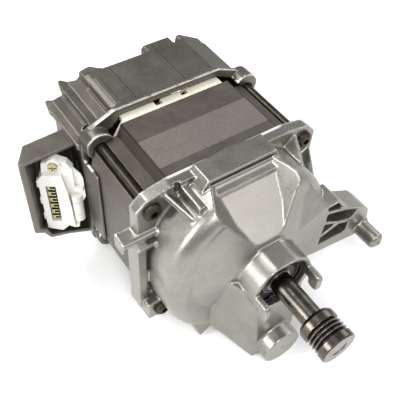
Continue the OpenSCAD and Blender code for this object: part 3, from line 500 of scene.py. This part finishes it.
CAP_RIBS = 20
CAP_STEPS = 240
CAP_BORE = 16.1 * MM
CAP_WALL = 2.4 * MM
CAP_FRONT = [  # mm behind the front, mm in from the rim, height of the grip ribs in mm
    (0, 0.5, 0), (0.5, 0, 0), (1.4, 0, 0), (1.8, 0, 0.9)]
CAP_BACK = [  # mm in front of the back, mm in from the rim, height of the grip ribs in mm
    (3.2, 0, 0.9), (2.2, 0.2, 0.5), (1.2, 0.9, 0), (0.3, 2.2, 0), (0, 3, 0), (0, 10.5, 0),
    (0.8, 11.2, 0), (0.8, 16.2, 0), (0.2, 16.8, 0)]
cap_low, cap_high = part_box("tacho_cap")
cap_front, cap_back = cap_low.y, cap_high.y
cap_r = (cap_high.x - cap_low.x) / 2


def cap_ring(depth, radius, ribbed=0.0):
    """A round of the cover, with grip ribs as high as ribbed."""
    ring = []
    for i in range(CAP_STEPS):
        turn = 2 * math.pi * i / CAP_STEPS
        wave = max(0.0, math.cos(CAP_RIBS * turn)) ** 0.5
        r = radius - ribbed * (1 - wave)
        ring.append((r * math.cos(turn), depth, r * math.sin(turn)))
    return ring


cap_rings = [cap_ring(cap_back - CAP_WALL, CAP_BORE), cap_ring(cap_front, CAP_BORE)]
cap_rings += [cap_ring(cap_front + depth * MM, cap_r - inset * MM, rib * MM)
              for depth, inset, rib in CAP_FRONT]
cap_rings += [cap_ring(cap_back - depth * MM, cap_r - inset * MM, rib * MM)
              for depth, inset, rib in CAP_BACK]
solid_of_rings("sensor_cover", cap_rings, "dark_plastic", "tacho_cap")


# --------------------------------------------------------------- brush springs

WIRE_RADIUS = 0.35 * MM
WIRE_SIDES = 8
SPRING_TURNS = 7
SPRING_STEPS = 32  # for each turn
END_TURNS = 0.6  # laid close at each end
CLOSE_PITCH = 0.1  # share of the length that an even, close pitch takes up


def brush_spring(side):
    """One wire wound along x, closed at its ends."""
    node = "brush_spring_" + side
    near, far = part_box(node)
    middle_y, middle_z = (near.y + far.y) / 2, (near.z + far.z) / 2
    coil_r = (far.z - near.z) / 2 - WIRE_RADIUS
    run = far.x - near.x - 2 * WIRE_RADIUS
    open_turns = SPRING_TURNS - 2 * END_TURNS
    rings = []
    for i in range(SPRING_TURNS * SPRING_STEPS + 1):
        turn = i / SPRING_STEPS
        opened = min(max(turn - END_TURNS, 0.0), open_turns) / open_turns
        share = (1 - CLOSE_PITCH) * opened + CLOSE_PITCH * turn / SPRING_TURNS
        angle = 2 * math.pi * turn
        ring = []
        for k in range(WIRE_SIDES):
            round_wire = 2 * math.pi * k / WIRE_SIDES
            x = near.x + WIRE_RADIUS + run * share + WIRE_RADIUS * math.sin(round_wire)
            out = coil_r + WIRE_RADIUS * math.cos(round_wire)
            ring.append((x, middle_y + out * math.cos(angle), middle_z + out * math.sin(angle)))
        rings.append(ring)
    spring = solid_of_rings("wound_spring_" + side, rings, "spring_steel", node)
    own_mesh(spring)


brush_spring("left")
brush_spring("right")


# ------------------------------------------------------------- stage and lights

FLOOR_HALF_WIDTH = 6.0
FLOOR_GAP = 0.5 * MM  # between the floor and the motor's lowest point
LIT_POINT = Vector((0, 0.1, 0))
SOFTBOXES = [  # name, place in m, width and height in m, power in W
    ("key", (-0.30, -0.36, 0.75), (0.3, 0.3), 5.8),
    ("overhead", (-0.3, 0.62, 0.8), (0.22, 0.5), 5.0),
    ("front_right", (0.36, -0.6, 0.52), (0.5, 0.4), 1.9),
    ("left_side", (-0.9, 0.26, 0.35), (0.16, 0.45), 5.5),  # the streak along the shaft
    ("right_side", (0.8, 0.1, 0.5), (0.5, 0.5), 2.7),
]

floor_mesh = bpy.data.meshes.new("floor")
shape = bmesh.new()
bmesh.ops.create_grid(shape, x_segments=2, y_segments=2, size=FLOOR_HALF_WIDTH)
shape.to_mesh(floor_mesh)
shape.free()
floor = bpy.data.objects.new("floor", floor_mesh)
floor.location = (0, 0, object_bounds()[0].z - FLOOR_GAP)
bpy.context.scene.collection.objects.link(floor)
paper = Paint("pale_paper")
floor_mesh.materials.append(paper.finish(
    paper.mix(paper.noise(3, 2, 0.5), (0.93, 0.93, 0.925), (0.96, 0.96, 0.955)), 0.9,
    paper.bump(paper.noise(900, 2, 0.5), 0.02 * MM, paper.normal, 0.3)))

for name, place, size, power in SOFTBOXES:
    light = bpy.data.lights.new(name, "AREA")
    light.shape = "RECTANGLE"
    light.size, light.size_y = size
    light.energy = power
    lamp = bpy.data.objects.new(name, light)
    lamp.location = place
    lamp.rotation_euler = (LIT_POINT - Vector(place)).to_track_quat("-Z", "Y").to_euler()
    bpy.context.scene.collection.objects.link(lamp)

world = bpy.data.worlds.new("studio")
world.use_nodes = True
background = world.node_tree.nodes["Background"]
background.inputs["Color"].default_value = (0.95, 0.97, 1.0, 1)
background.inputs["Strength"].default_value = 0.4
bpy.context.scene.world = world
bpy.context.scene.view_settings.view_transform = "Standard"


# ------------------------------------------------------------------- the camera

# Its axes and place come from the vanishing points of the motor's straight edges.
RIGHT = Vector((0.8277824, -0.55951837, 0.04141848))
UP = Vector((0.40450999, 0.64634856, 0.64699707))
BACK = Vector((-0.38877752, -0.5188186, 0.76136673))
STAND = Vector((-0.14757, -0.07291, 0.28033)) * 1.02

camera_data = bpy.data.cameras.new("camera")
camera_data.lens = 55.55
camera_data.sensor_width = 36
camera_data.clip_start = 0.01
camera = bpy.data.objects.new("camera", camera_data)
camera.matrix_world = Matrix((
    (RIGHT.x, UP.x, BACK.x, STAND.x),
    (RIGHT.y, UP.y, BACK.y, STAND.y),
    (RIGHT.z, UP.z, BACK.z, STAND.z),
    (0, 0, 0, 1)))
bpy.context.scene.collection.objects.link(camera)
bpy.context.scene.camera = camera
